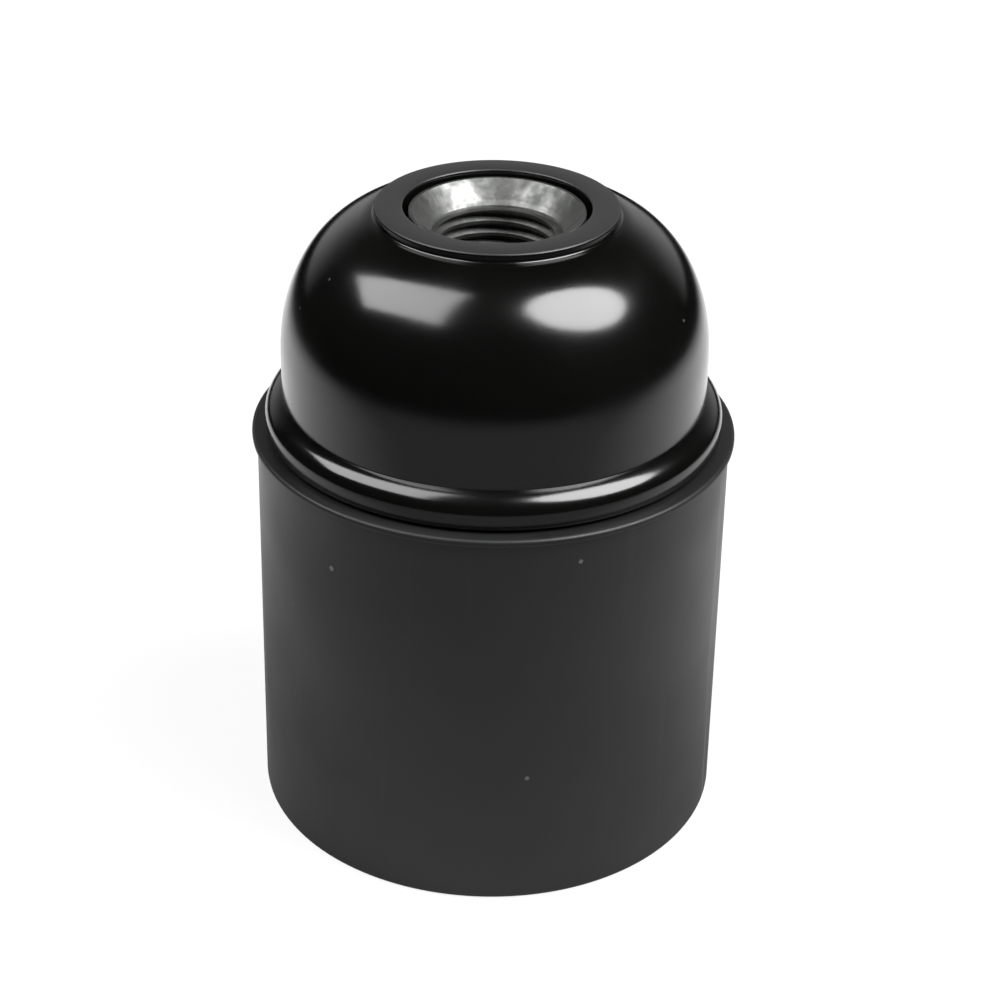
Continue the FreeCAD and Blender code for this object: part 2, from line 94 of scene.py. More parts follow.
def extrudeTo(here, there):
    # carries the selected ring from one (radius, height) to the next
    bpy.ops.mesh.extrude_region_move(TRANSFORM_OT_translate={"value": (0, 0, (there[1] - here[1]) * mm)})
    grow = there[0] / here[0]
    bpy.ops.transform.resize(value=(grow, grow, 1), center_override=(0, 0, there[1] * mm))


def lathe(name, profile, sides):
    # a circle drawn out ring by ring along a profile of (radius, height) in millimetres
    radius, height = profile[0]
    deselectAll()
    bpy.ops.mesh.primitive_circle_add(vertices=sides, radius=radius * mm, location=(0, 0, height * mm))
    piece = bpy.context.object
    settle(piece, name)
    bpy.ops.object.mode_set(mode="EDIT")
    bpy.ops.mesh.select_all(action="SELECT")
    for here, there in zip(profile, profile[1:]):
        extrudeTo(here, there)
    bpy.ops.mesh.select_all(action="SELECT")
    bpy.ops.mesh.remove_doubles(threshold=weldGap)
    bpy.ops.mesh.normals_make_consistent(inside=False)
    bpy.ops.object.mode_set(mode="OBJECT")
    return piece


def smoothOff(piece, degrees=32):
    takeUp(piece)
    bpy.ops.object.shade_smooth_by_angle(angle=math.radians(degrees))


def joined(pieces, name):
    # joins pieces into the first one
    takeUp(pieces[0])
    for piece in pieces[1:]:
        piece.select_set(True)
    bpy.ops.object.join()
    pieces[0].name = name
    pieces[0].data.name = name
    return pieces[0]


def rounded(corners, steps=5):
    # a profile of (radius, height, rounding) with an arc at each rounded corner
    points = []
    count = len(corners)
    for index, (radius, height, rounding) in enumerate(corners):
        here = Vector((radius, height))
        if not rounding:
            points.append(tuple(here))
            continue
        before = Vector(corners[index - 1][:2]) - here
        after = Vector(corners[(index + 1) % count][:2]) - here
        half = before.angle(after) / 2
        run = rounding / math.tan(half)
        middle = (before.normalized() + after.normalized()).normalized()
        centre = here + middle * rounding / math.sin(half)
        start = here + before.normalized() * run - centre
        stop = here + after.normalized() * run - centre
        turn = start.angle_signed(stop)
        for step in range(steps + 1):
            angle = -turn * step / steps
            spoke = Vector((start.x * math.cos(angle) - start.y * math.sin(angle),
                            start.x * math.sin(angle) + start.y * math.cos(angle)))
            points.append(tuple(centre + spoke))
    return points


def threadBand(name, profile, pitch, low, high, sides):
    # one pitch of a thread's section, swept up its screw line past both ends and cut flat there
    first = math.floor(low / pitch) - 2
    turns = math.ceil(high / pitch) + 1 - first
    radius, height = profile[0]
    deselectAll()
    bpy.ops.mesh.primitive_plane_add(size=mm, location=(radius * mm, 0, (height + first * pitch) * mm))
    piece = bpy.context.object
    settle(piece, name)
    bpy.ops.object.mode_set(mode="EDIT")
    bpy.ops.mesh.select_all(action="SELECT")
    bpy.ops.mesh.merge(type="CENTER")
    for here, there in zip(profile, profile[1:]):
        step = ((there[0] - here[0]) * mm, 0, (there[1] - here[1]) * mm)
        bpy.ops.mesh.extrude_region_move(TRANSFORM_OT_translate={"value": step})
    bpy.ops.object.mode_set(mode="OBJECT")
    screw = piece.modifiers.new("Screw", "SCREW")
    screw.axis = "Z"
    screw.screw_offset = pitch * mm
    screw.iterations = turns
    screw.steps = sides
    screw.render_steps = sides
    screw.use_merge_vertices = True
    screw.use_smooth_shade = True
    bpy.ops.object.modifier_apply(modifier=screw.name)
    bpy.ops.object.mode_set(mode="EDIT")
    bpy.ops.mesh.select_all(action="SELECT")
    bpy.ops.mesh.remove_doubles(threshold=weldGap)
    for height, inner in ((low, True), (high, False)):
        bpy.ops.mesh.select_all(action="SELECT")
        bpy.ops.mesh.bisect(plane_co=(0, 0, height * mm), plane_no=(0, 0, 1), threshold=cutGap,
                            clear_inner=inner, clear_outer=not inner)
    bpy.ops.mesh.select_all(action="SELECT")
    bpy.ops.mesh.remove_doubles(threshold=weldGap)
    bpy.ops.object.mode_set(mode="OBJECT")
    return piece


def fillRingAt(piece, height):
    # fills the flat ring between the two open rims that lie at one height
    takeUp(piece)
    bpy.ops.object.mode_set(mode="EDIT")
    bpy.ops.mesh.select_mode(type="EDGE")
    bpy.ops.mesh.select_all(action="DESELECT")
    bpy.ops.mesh.select_non_manifold(extend=False, use_wire=False, use_boundary=True,
                                     use_multi_face=False, use_non_contiguous=False, use_verts=False)
    bpy.ops.object.mode_set(mode="OBJECT")
    for edge in piece.data.edges:
        heights = [piece.data.vertices[index].co.z for index in edge.vertices]
        edge.select = edge.select and all(abs(z - height * mm) < levelGap for z in heights)
    bpy.ops.object.mode_set(mode="EDIT")
    bpy.ops.mesh.fill(use_beauty=True)
    bpy.ops.mesh.select_mode(type="VERT")
    bpy.ops.object.mode_set(mode="OBJECT")


def closeUp(piece):
    takeUp(piece)
    bpy.ops.object.mode_set(mode="EDIT")
    bpy.ops.mesh.select_all(action="SELECT")
    bpy.ops.mesh.normals_make_consistent(inside=False)
    bpy.ops.object.mode_set(mode="OBJECT")


def repeatPitch(points, pitch):
    # the section goes on to where the next turn starts
    return points + [(points[0][0], points[0][1] + pitch)]


def blockPiece(name, length, width, low, high, middle, degrees):
    # an upright block, set out along +X and then turned round the axis
    deselectAll()
    bpy.ops.mesh.primitive_cube_add(size=1, location=(middle * mm, 0, (low + high) / 2 * mm))
    piece = bpy.context.object
    piece.scale = (length * mm, width * mm, (high - low) * mm)
    settle(piece, name)
    bpy.ops.object.mode_set(mode="EDIT")
    bpy.ops.mesh.select_all(action="SELECT")
    bpy.ops.mesh.bevel(offset=blockEdge, segments=2)
    bpy.ops.mesh.select_all(action="SELECT")
    bpy.ops.transform.rotate(value=math.radians(degrees), orient_axis="Z", center_override=axis)
    bpy.ops.object.mode_set(mode="OBJECT")
    return piece


def dress(piece, body, node, slotName):
    piece.data.materials.clear()
    piece.data.materials.append(materials[slotName])
    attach(piece, body)
    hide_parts(node)


def newSocket(group, name, direction):
    group.interface.new_socket(name=name, in_out=direction, socket_type="NodeSocketFloat")


def addNode(tree, kind, place, **settings):
    node = tree.nodes.new(kind)
    node.location = place
    for key, value in settings.items():
        setattr(node, key, value)
    return node


skinLook = {"grainDetail": 3, "wavesDetail": 2, "grainShare": 0.25, "speckRadius": 0.055, "speckRarity": 0.72}


def moulding():
    # the skin of a moulding: slow waves, fine grain, and small pale specks
    group = bpy.data.node_groups.new("mouldedSkin", "ShaderNodeTree")
    for name in ("Grain", "Waves", "Specks"):
        newSocket(group, name, "INPUT")
    for name in ("Height", "Cloud", "Speck"):
        newSocket(group, name, "OUTPUT")
    into = addNode(group, "NodeGroupInput", (-800, 0))
    out = addNode(group, "NodeGroupOutput", (600, 0))
    place = addNode(group, "ShaderNodeTexCoord", (-800, -300))
    grain = addNode(group, "ShaderNodeTexNoise", (-500, 200))
    grain.inputs["Detail"].default_value = skinLook["grainDetail"]
    waves = addNode(group, "ShaderNodeTexNoise", (-500, 0))
    waves.inputs["Detail"].default_value = skinLook["wavesDetail"]
    specks = addNode(group, "ShaderNodeTexVoronoi", (-500, -250))
    for texture, name in ((grain, "Grain"), (waves, "Waves"), (specks, "Specks")):
        group.links.new(place.outputs["Object"], texture.inputs["Vector"])
        group.links.new(into.outputs[name], texture.inputs["Scale"])
    soften = addNode(group, "ShaderNodeMath", (-250, 200), operation="MULTIPLY")
    soften.inputs[1].default_value = skinLook["grainShare"]
    total = addNode(group, "ShaderNodeMath", (-50, 100), operation="ADD")
    group.links.new(grain.outputs["Fac"], soften.inputs[0])
    group.links.new(soften.outputs[0], total.inputs[0])
    group.links.new(waves.outputs["Fac"], total.inputs[1])
    group.links.new(total.outputs[0], out.inputs["Height"])
    group.links.new(waves.outputs["Fac"], out.inputs["Cloud"])
    # a cell shows a speck only where its own random colour is high
    near = addNode(group, "ShaderNodeMath", (-250, -200), operation="LESS_THAN")
    near.inputs[1].default_value = skinLook["speckRadius"]
    chosen = addNode(group, "ShaderNodeSeparateColor", (-250, -350))
    rare = addNode(group, "ShaderNodeMath", (-50, -350), operation="GREATER_THAN")
    rare.inputs[1].default_value = skinLook["speckRarity"]
    both = addNode(group, "ShaderNodeMath", (150, -250), operation="MULTIPLY")
    group.links.new(specks.outputs["Distance"], near.inputs[0])
    group.links.new(specks.outputs["Color"], chosen.inputs[0])
    group.links.new(chosen.outputs[0], rare.inputs[0])
    group.links.new(near.outputs[0], both.inputs[0])
    group.links.new(rare.outputs[0], both.inputs[1])
    group.links.new(both.outputs[0], out.inputs["Speck"])
    return group


marksLook = {"detail": 4, "faintest": 0.6, "clearest": 0.75}


def scratching():
    # long faint marks that run up the wall
    group = bpy.data.node_groups.new("handlingMarks", "ShaderNodeTree")
    newSocket(group, "Across", "INPUT")
    newSocket(group, "Along", "INPUT")
    newSocket(group, "Mask", "OUTPUT")
    into = addNode(group, "NodeGroupInput", (-800, 0))
    out = addNode(group, "NodeGroupOutput", (600, 0))
    place = addNode(group, "ShaderNodeTexCoord", (-800, -300))
    scale = addNode(group, "ShaderNodeCombineXYZ", (-600, 0))
    for target, name in (("X", "Across"), ("Y", "Across"), ("Z", "Along")):
        group.links.new(into.outputs[name], scale.inputs[target])
    stretch = addNode(group, "ShaderNodeVectorMath", (-400, -100), operation="MULTIPLY")
    group.links.new(place.outputs["Object"], stretch.inputs[0])
    group.links.new(scale.outputs[0], stretch.inputs[1])
    streaks = addNode(group, "ShaderNodeTexNoise", (-200, 0))
    streaks.inputs["Scale"].default_value = 1
    streaks.inputs["Detail"].default_value = marksLook["detail"]
    sharpen = addNode(group, "ShaderNodeMapRange", (50, 0))
    sharpen.inputs["From Min"].default_value = marksLook["faintest"]
    sharpen.inputs["From Max"].default_value = marksLook["clearest"]
    group.links.new(stretch.outputs[0], streaks.inputs["Vector"])
    group.links.new(streaks.outputs["Fac"], sharpen.inputs["Value"])
    group.links.new(sharpen.outputs[0], out.inputs["Mask"])
    return group


skinGroup = moulding()
marksGroup = scratching()


def startMaterial(name):
    material = bpy.data.materials.new(name)
    material.use_nodes = True
    tree = material.node_tree
    tree.nodes.clear()
    out = addNode(tree, "ShaderNodeOutputMaterial", (900, 0))
    shader = addNode(tree, "ShaderNodeBsdfPrincipled", (600, 0))
    tree.links.new(shader.outputs[0], out.inputs["Surface"])
    return material, tree, shader


def placeGroup(tree, group, where, **values):
    node = addNode(tree, "ShaderNodeGroup", where, node_tree=group)
    for key, value in values.items():
        node.inputs[key].default_value = value
    return node


def placeSkin(tree, look):
    # bare metal has no specks
    return placeGroup(tree, skinGroup, (-600, 0), Grain=look["grain"], Waves=look["waves"],
                      Specks=look.get("specks", 0))


def mapped(tree, source, where, low, high, fromLow=0.0, fromHigh=1.0):
    # carries a value from one range to another
    node = addNode(tree, "ShaderNodeMapRange", where)
    node.inputs["From Min"].default_value = fromLow
    node.inputs["From Max"].default_value = fromHigh
    node.inputs["To Min"].default_value = low
    node.inputs["To Max"].default_value = high
    tree.links.new(source, node.inputs["Value"])
    return node.outputs[0]


def mixed(tree, factor, first, second, where):
    # a colour mix between two fixed colours or sockets
    node = addNode(tree, "ShaderNodeMix", where, data_type="RGBA")
    for socket, value in ((node.inputs[6], first), (node.inputs[7], second)):
        if isinstance(value, tuple):
            socket.default_value = value
        else:
            tree.links.new(value, socket)
    tree.links.new(factor, node.inputs[0])
    return node.outputs[2]


def mixedValue(tree, factor, first, second, where):
    node = addNode(tree, "ShaderNodeMix", where, data_type="FLOAT")
    for socket, value in ((node.inputs[2], first), (node.inputs[3], second)):
        if isinstance(value, (int, float)):
            socket.default_value = value
        else:
            tree.links.new(value, socket)
    tree.links.new(factor, node.inputs[0])
    return node.outputs[0]


def bumped(tree, shader, height, where, strength, distance):
    bump = addNode(tree, "ShaderNodeBump", where)
    bump.inputs["Strength"].default_value = strength
    bump.inputs["Distance"].default_value = distance
    tree.links.new(height, bump.inputs["Height"])
    tree.links.new(bump.outputs[0], shader.inputs["Normal"])


phenolicGloss = {
    "colour": (0.0018, 0.0018, 0.0017, 1), "cloudColour": (0.0026, 0.0025, 0.0023, 1),
    # the faced colour is the faced-off top's grey, lightened with painted sheen
    "dust": (0.05, 0.05, 0.046, 1), "facedGreyAndSheen": (0.016, 0.016, 0.016, 1),
    "shine": 0.13, "dullest": 0.2, "facedShine": 0.44, "cloudRange": (0.35, 0.7),
    "faceHeight": 51.4, "faceBlend": 0.1, "bump": 0.05, "bumpDepth": 0.0002, "ior": 1.6,
    "grain": 1500, "waves": 120, "specks": 420,
}


def makePhenolicGloss():
    look = phenolicGloss
    material, tree, shader = startMaterial("phenolicGloss")
    skin = placeSkin(tree, look)
    colour = mixed(tree, skin.outputs["Cloud"], look["colour"], look["cloudColour"], (-200, 200))
    colour = mixed(tree, skin.outputs["Speck"], colour, look["dust"], (0, 200))
    # the boss's top face is faced off dull, and the rest of the cap is polished; the faced colour is a grey
    # lifted further by painted sheen, so the top reads lighter than the black cap
    place = addNode(tree, "ShaderNodeTexCoord", (-800, -300))
    split = addNode(tree, "ShaderNodeSeparateXYZ", (-600, -300))
    tree.links.new(place.outputs["Object"], split.inputs[0])
    top = mapped(tree, split.outputs["Z"], (-400, -300), 0, 1,
                 look["faceHeight"] * mm, (look["faceHeight"] + look["faceBlend"]) * mm)
    tree.links.new(mixed(tree, top, colour, look["facedGreyAndSheen"], (100, 200)), shader.inputs["Base Color"])
    polish = mapped(tree, skin.outputs["Cloud"], (-400, -50), look["shine"], look["dullest"],
                    *look["cloudRange"])
    rough = mixedValue(tree, top, polish, look["facedShine"], (-100, -150))
    tree.links.new(rough, shader.inputs["Roughness"])
    shader.inputs["IOR"].default_value = look["ior"]
    bumped(tree, shader, skin.outputs["Height"], (300, -300), look["bump"], look["bumpDepth"])
    return material


phenolicSatin = {
    "colour": (0.006, 0.0062, 0.0064, 1), "cloudColour": (0.0076, 0.0077, 0.0079, 1),
    "dust": (0.07, 0.067, 0.06, 1), "shine": 0.42, "dullest": 0.56, "rubbed": 0.36, "cloudRange": (0.35, 0.7),
    "bump": 0.12, "bumpDepth": 0.0002, "ior": 1.5,
    "grain": 2600, "waves": 70, "specks": 260, "marksAcross": 520, "marksAlong": 22,
}


def makePhenolicSatin():
    look = phenolicSatin
    material, tree, shader = startMaterial("phenolicSatin")
    skin = placeSkin(tree, look)
    marks = placeGroup(tree, marksGroup, (-600, -400), Across=look["marksAcross"], Along=look["marksAlong"])
    colour = mixed(tree, skin.outputs["Cloud"], look["colour"], look["cloudColour"], (-200, 200))
    colour = mixed(tree, skin.outputs["Speck"], colour, look["dust"], (0, 200))
    tree.links.new(colour, shader.inputs["Base Color"])
    dull = mapped(tree, skin.outputs["Cloud"], (-400, -50), look["shine"], look["dullest"],
                  *look["cloudRange"])
    rough = mixedValue(tree, marks.outputs["Mask"], dull, look["rubbed"], (-100, -150))
    tree.links.new(rough, shader.inputs["Roughness"])
    shader.inputs["IOR"].default_value = look["ior"]
    bumped(tree, shader, skin.outputs["Height"], (300, -300), look["bump"], look["bumpDepth"])
    return material


patchRange = (0.38, 0.62)
zincPlate = {
    "colour": (0.21, 0.21, 0.205, 1), "dark": (0.13, 0.135, 0.13, 1), "shine": 0.38, "dullest": 0.56,
    "bump": 0.25, "bumpDepth": 0.0002, "grain": 2600, "waves": 700,
}
brassSheet = {
    "colour": (0.78, 0.58, 0.27, 1), "dark": (0.52, 0.36, 0.15, 1), "shine": 0.22, "dullest": 0.38,
    "bump": 0.12, "bumpDepth": 0.0002, "grain": 2200, "waves": 260,
}
springBronze = {
    "colour": (0.74, 0.47, 0.27, 1), "dark": (0.48, 0.27, 0.14, 1), "shine": 0.25, "dullest": 0.4,
    "bump": 0.1, "bumpDepth": 0.0002, "grain": 2200, "waves": 220,
}


def makeMetal(name, look):
    material, tree, shader = startMaterial(name)
    skin = placeSkin(tree, look)
    patch = mapped(tree, skin.outputs["Cloud"], (-400, 200), 0, 1, *patchRange)
    colour = mixed(tree, patch, look["colour"], look["dark"], (-200, 200))
    tree.links.new(colour, shader.inputs["Base Color"])
    rough = mapped(tree, patch, (-200, -100), look["shine"], look["dullest"])
    tree.links.new(rough, shader.inputs["Roughness"])
    shader.inputs["Metallic"].default_value = 1
    bumped(tree, shader, skin.outputs["Height"], (300, -300), look["bump"], look["bumpDepth"])
    return material


steatiteBody = {
    "colour": (0.8, 0.78, 0.72, 1), "cloudColour": (0.72, 0.69, 0.62, 1), "dust": (0.42, 0.38, 0.32, 1),
    "shine": 0.5, "dullest": 0.68, "bump": 0.15, "bumpDepth": 0.0003,
    "grain": 2200, "waves": 160, "specks": 500,
}


def makeSteatite():
    look = steatiteBody
    material, tree, shader = startMaterial("steatite")
    skin = placeSkin(tree, look)
    colour = mixed(tree, skin.outputs["Cloud"], look["colour"], look["cloudColour"], (-200, 200))
    colour = mixed(tree, skin.outputs["Speck"], colour, look["dust"], (0, 200))
    tree.links.new(colour, shader.inputs["Base Color"])
    rough = mapped(tree, skin.outputs["Cloud"], (-200, -100), look["shine"], look["dullest"])
    tree.links.new(rough, shader.inputs["Roughness"])
    bumped(tree, shader, skin.outputs["Height"], (300, -300), look["bump"], look["bumpDepth"])
    return material


materials = {
    "phenolic_gloss": makePhenolicGloss(),
    "phenolic_matt": makePhenolicSatin(),
    "zinc_plated": makeMetal("zincPlate", zincPlate),
    "brass": makeMetal("brassSheet", brassSheet),
    "spring_bronze": makeMetal("springBronze", springBronze),
    "steatite": makeSteatite(),
}
print("materials made")


# the CAD parts that stay take the new finishes
for entry in frame["record"]["subparts"]:
    for place in bpy.data.objects[entry["node"]].material_slots:
        place.material = materials[entry["material_slot"]]
print("metal and ceramic parts finished")


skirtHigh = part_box("skirt")[1]
skirtSize = {
    "top": skirtHigh.z / mm, "rimInset": 0.3,
    "lipRadius": skirtHigh.x / mm, "lipHeight": 0.5, "lipRound": 0.3, "lipFootRound": 0.1,
    "mouthRadius": 19.0, "topRadius": 18.77, "mouthRound": 0.4,
    "recessRadius": 16.9, "recessDepth": 11.5, "pocketTop": 21.5, "pocketRound": 0.5,
    "tubeRadius": 14.95, "tubeRound": 0.3, "lampRelief": 0.15, "houseRelief": 0.02,
    "ledge": 24.0, "threadFloor": 27.1, "sides": 160,
    "ribs": 6, "ribWidth": 1.6, "ribDepth": 2.6, "ribFoot": 0.8, "ribOverlap": 0.4,
}
houseThread = {"pitch": 2.5, "tip": 0.55, "flank": math.radians(30), "gap": 0.25,
               "femaleMinor": 16.4, "femaleMajor": 17.2, "maleMinor": 16.15, "maleMajor": 16.95,
               "maleLow": 27.35, "maleHigh": 32.75}
lampThread = {"pitch": 25.4 / 7, "major": 13.35, "minor": 12.25, "low": 11.5, "high": 24.0, "steps": 4}


def toothProfile(minor, major, tip):
    foot = tip / 2 + (major - minor) * math.tan(houseThread["flank"])
    corners = [(minor, -foot), (major, -tip / 2), (major, tip / 2), (minor, foot)]
    return repeatPitch(corners, houseThread["pitch"])


def roundProfile():
    # the lamp thread's form is two arcs that meet on the middle of the flank
    size = lampThread
    half = size["pitch"] / 2
    depth = size["major"] - size["minor"]
    arc = (depth ** 2 + half ** 2) / (4 * depth)
    lean = math.asin(half / 2 / arc)
    steps = size["steps"]
    points = []
    for step in range(steps + 1):
        angle = lean * step / steps
        points.append((size["minor"] + arc * (1 - math.cos(angle)), arc * math.sin(angle) - half))
    for step in range(1 - steps, steps + 1):
        angle = lean * step / steps
        points.append((size["major"] - arc * (1 - math.cos(angle)), arc * math.sin(angle)))
    for step in range(steps - 1, 0, -1):
        angle = lean * step / steps
        points.append((size["minor"] + arc * (1 - math.cos(angle)), half - arc * math.sin(angle)))
    return repeatPitch(points, size["pitch"])


def makeSkirt():
    size = skirtSize
    house = houseThread
    sides = size["sides"]
    lipFoot = size["top"] - size["lipHeight"]
    mouth = size["mouthRound"]
    pocket = size["pocketRound"]
    lampBore = lampThread["major"] + size["lampRelief"]
    houseBore = house["femaleMinor"] - size["houseRelief"]
    outer = rounded([
        (house["femaleMajor"] + size["rimInset"], size["top"], 0),
        (size["lipRadius"], size["top"], size["lipRound"]),
        (size["lipRadius"], lipFoot, size["lipFootRound"]),
        (size["topRadius"], lipFoot, size["lipFootRound"]),
        (size["mouthRadius"], 0, mouth), (size["recessRadius"], 0, mouth),
        (size["recessRadius"], size["pocketTop"], pocket), (size["tubeRadius"], size["pocketTop"], pocket),
        (size["tubeRadius"], size["recessDepth"], size["tubeRound"]), (lampBore, size["recessDepth"], 0),
    ])
    inner = [(lampBore, size["ledge"]), (houseBore, size["ledge"]), (houseBore, size["threadFloor"])]
    # the gap is the same on the flanks as on the crest
    growth = house["gap"] * (1 / math.cos(house["flank"]) - math.tan(house["flank"]))
    tooth = toothProfile(house["femaleMinor"], house["femaleMajor"], house["tip"] + 2 * growth)
    pieces = [
        lathe("skirtOuter", outer, sides),
        lathe("skirtShoulder", inner, sides),
        threadBand("skirtHouseThread", tooth, house["pitch"], size["threadFloor"], size["top"], sides),
        threadBand("skirtLampThread", roundProfile(), lampThread["pitch"], lampThread["low"],
                   lampThread["high"], sides),
    ]
    skirt = joined(pieces, "skirtSleeve")
    for height in (size["top"], size["threadFloor"], size["ledge"], size["recessDepth"]):
        fillRingAt(skirt, height)
    closeUp(skirt)
    ribs = []
    middle = (size["recessRadius"] + size["tubeRadius"]) / 2
    ribLow = size["recessDepth"] + size["ribFoot"]
    ribHigh = size["pocketTop"] + size["ribOverlap"]
    for count in range(size["ribs"]):
        ribs.append(blockPiece("rib", size["ribDepth"], size["ribWidth"], ribLow, ribHigh,
                               middle, 360 * count / size["ribs"]))
    skirt = joined([skirt] + ribs, "skirtSleeve")
    smoothOff(skirt)
    dress(skirt, "skirt", "skirt", "phenolic_matt")


makeSkirt()
print("skirt made")


capLow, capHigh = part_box("dome_cap")
capSize = {
    "top": capHigh.z / mm, "end": capLow.z / mm,
    "flangeRadius": 18.1, "flangeUnderside": 33.4, "flangeTop": 36.1, "flangeEdge": 0.3, "flangeNeck": 0.1,
    "beadDrop": 1.6, "beadSweep": 62, "beadSteps": 14,
    "domeRadius": 16.74, "domeSpring": 39.66, "domeRise": 12.05, "domePower": 3.69, "domeSteps": 26,
    "bossRadius": 9.4, "bossFoot": 0.44, "bossFootRise": 0.02, "bossFootRound": 0.24, "bossRound": 0.2,
    "bossHole": 7.2, "hubSeat": 49.25, "seatRound": 0.1, "bushHole": 6.0, "bushHoleRound": 0.15,
    "hubBottom": 45.5, "hubRadius": 9.0, "hubRound": 0.3,
    "ceiling": 48.35, "ceilingRound": 0.5, "crownRadius": 10.83, "crownDrop": 0.6, "insideRound": 2.0,
    "haunchRadius": 13.61, "haunchHeight": 44.48, "wallBore": 14.64, "wallFoot": 34.2,
    "collarTop": 33.2, "collarBore": 14.4, "collarRadius": 16.05, "collarRound": 0.2,
    "keyWidth": 2.8, "keyInner": 12.9, "keyDepth": 2.4, "keyFoot": 0.4, "keyHead": 6.6, "sides": 160,
}


def domePoint(angle):
    size = capSize
    radius = size["domeRadius"] * math.cos(angle) ** (2 / size["domePower"])
    return radius, size["domeSpring"] + size["domeRise"] * math.sin(angle)


def makeCap():
    size = capSize
    house = houseThread
    sides = size["sides"]
    footShare = (size["bossRadius"] + size["bossFoot"]) / size["domeRadius"]
    footAngle = math.acos(footShare ** (size["domePower"] / 2))
    dome = [domePoint(footAngle * step / size["domeSteps"]) for step in range(size["domeSteps"] + 1)]
    footHeight = dome[-1][1]
    sweep = math.radians(size["beadSweep"])
    beadWidth = (size["flangeRadius"] - size["domeRadius"]) / (1 - math.cos(sweep))
    beadRise = size["beadDrop"] / math.sin(sweep)
    beadFoot = size["flangeTop"] - size["beadDrop"]
    shoulder = []
    for step in range(size["beadSteps"] + 1):
        turn = sweep * step / size["beadSteps"]
        shoulder.append((size["flangeRadius"] - beadWidth * (1 - math.cos(turn)),
                         beadFoot + beadRise * math.sin(turn)))
    flange = rounded([
        (size["collarRadius"], house["maleHigh"], 0),
        (size["collarRadius"], size["flangeUnderside"], size["flangeNeck"]),
        (size["flangeRadius"], size["flangeUnderside"], size["flangeEdge"]),
        (size["flangeRadius"], beadFoot, 0),
    ]) + shoulder[1:]
    boss = rounded([
        (size["bossRadius"] + size["bossFoot"], footHeight, 0),
        (size["bossRadius"], footHeight + size["bossFootRise"], size["bossFootRound"]),
        (size["bossRadius"], size["top"], size["bossRound"]),
        (size["bossHole"], size["top"], size["bossRound"]),
        (size["bossHole"], size["hubSeat"], size["seatRound"]),
        (size["bushHole"], size["hubSeat"], size["seatRound"]),
        (size["bushHole"], size["hubBottom"], size["bushHoleRound"]),
        (size["hubRadius"], size["hubBottom"], size["hubRound"]),
        (size["hubRadius"], size["ceiling"], size["ceilingRound"]),
        (size["crownRadius"], size["ceiling"] - size["crownDrop"], size["insideRound"]),
        (size["haunchRadius"], size["haunchHeight"], size["insideRound"]),
        (size["wallBore"], size["domeSpring"], size["insideRound"]),
        (size["wallBore"], size["wallFoot"], size["collarRound"]),
        (size["collarBore"], size["collarTop"], size["collarRound"]),
        (size["collarBore"], size["end"], size["collarRound"]),
        (size["collarRadius"], size["end"], size["collarRound"]),
        (size["collarRadius"], house["maleLow"], 0),
    ])
    tooth = toothProfile(house["maleMinor"], house["maleMajor"], house["tip"])
    pieces = [
        lathe("capShell", flange + dome + boss[1:], sides),
        threadBand("capThread", tooth, house["pitch"], house["maleLow"], house["maleHigh"], sides),
    ]
    cap = joined(pieces, "domeCap")
    for height in (house["maleLow"], house["maleHigh"]):
        fillRingAt(cap, height)
    closeUp(cap)
    keys = [
        blockPiece("key", size["keyDepth"], size["keyWidth"], size["end"] + size["keyFoot"],
                   size["end"] + size["keyHead"], size["keyInner"] + size["keyDepth"] / 2, degrees)
        for degrees in (90, 270)
    ]
    cap = joined([cap] + keys, "domeCap")
    smoothOff(cap)
    dress(cap, "cap", "dome_cap", "phenolic_gloss")


makeCap()
print("cap made")


bushLow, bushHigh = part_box("entry_bush")
bushSize = {
    "rim": bushHigh.z / mm, "end": bushLow.z / mm, "headRadius": bushHigh.x / mm,
    "rimWidth": 0.28, "rimRound": 0.08, "edgeRound": 0.1,
    "headBottom": 49.25, "shankRadius": 5.85, "shankRound": 0.2,
    "funnelRadius": 5.43, "funnel": 49.75, "throatRadius": 5.11, "throat": 49.42, "threadTop": 49.27,
    "pitch": 1.0, "minor": 4.46, "major": 5.02, "relief": 0.02,
    "roundSteps": 4, "smoothUnder": 38, "sides": 128,
}


def makeBush():
    size = bushSize
    sides = size["sides"]
    bore = size["major"] + size["relief"]
    edge = size["edgeRound"]
    crest, root, half = size["pitch"] / 4, size["pitch"] / 8, size["pitch"] / 2
    form = [(size["minor"], -crest / 2), (size["minor"], crest / 2),
            (size["major"], half - root / 2), (size["major"], half + root / 2)]
    tooth = repeatPitch(form, size["pitch"])
    wall = rounded([
        (bore, size["end"], 0), (size["shankRadius"], size["end"], size["shankRound"]),
        (size["shankRadius"], size["headBottom"], edge), (size["headRadius"], size["headBottom"], edge),
        (size["headRadius"], size["rim"], size["rimRound"]),
        (size["headRadius"] - size["rimWidth"], size["rim"], size["rimRound"]),
        (size["funnelRadius"], size["funnel"], edge), (size["throatRadius"], size["throat"], edge),
        (bore, size["threadTop"], 0),
    ], steps=size["roundSteps"])
    pieces = [
        lathe("bushWall", wall, sides),
        threadBand("bushThread", tooth, size["pitch"], size["end"], size["threadTop"], sides),
    ]
    bush = joined(pieces, "entryBush")
    for height in (size["end"], size["threadTop"]):
        fillRingAt(bush, height)
    closeUp(bush)
    smoothOff(bush, size["smoothUnder"])
    dress(bush, "cap", "entry_bush", "zinc_plated")


makeBush()
print("entry bush made")


springCuts = 3


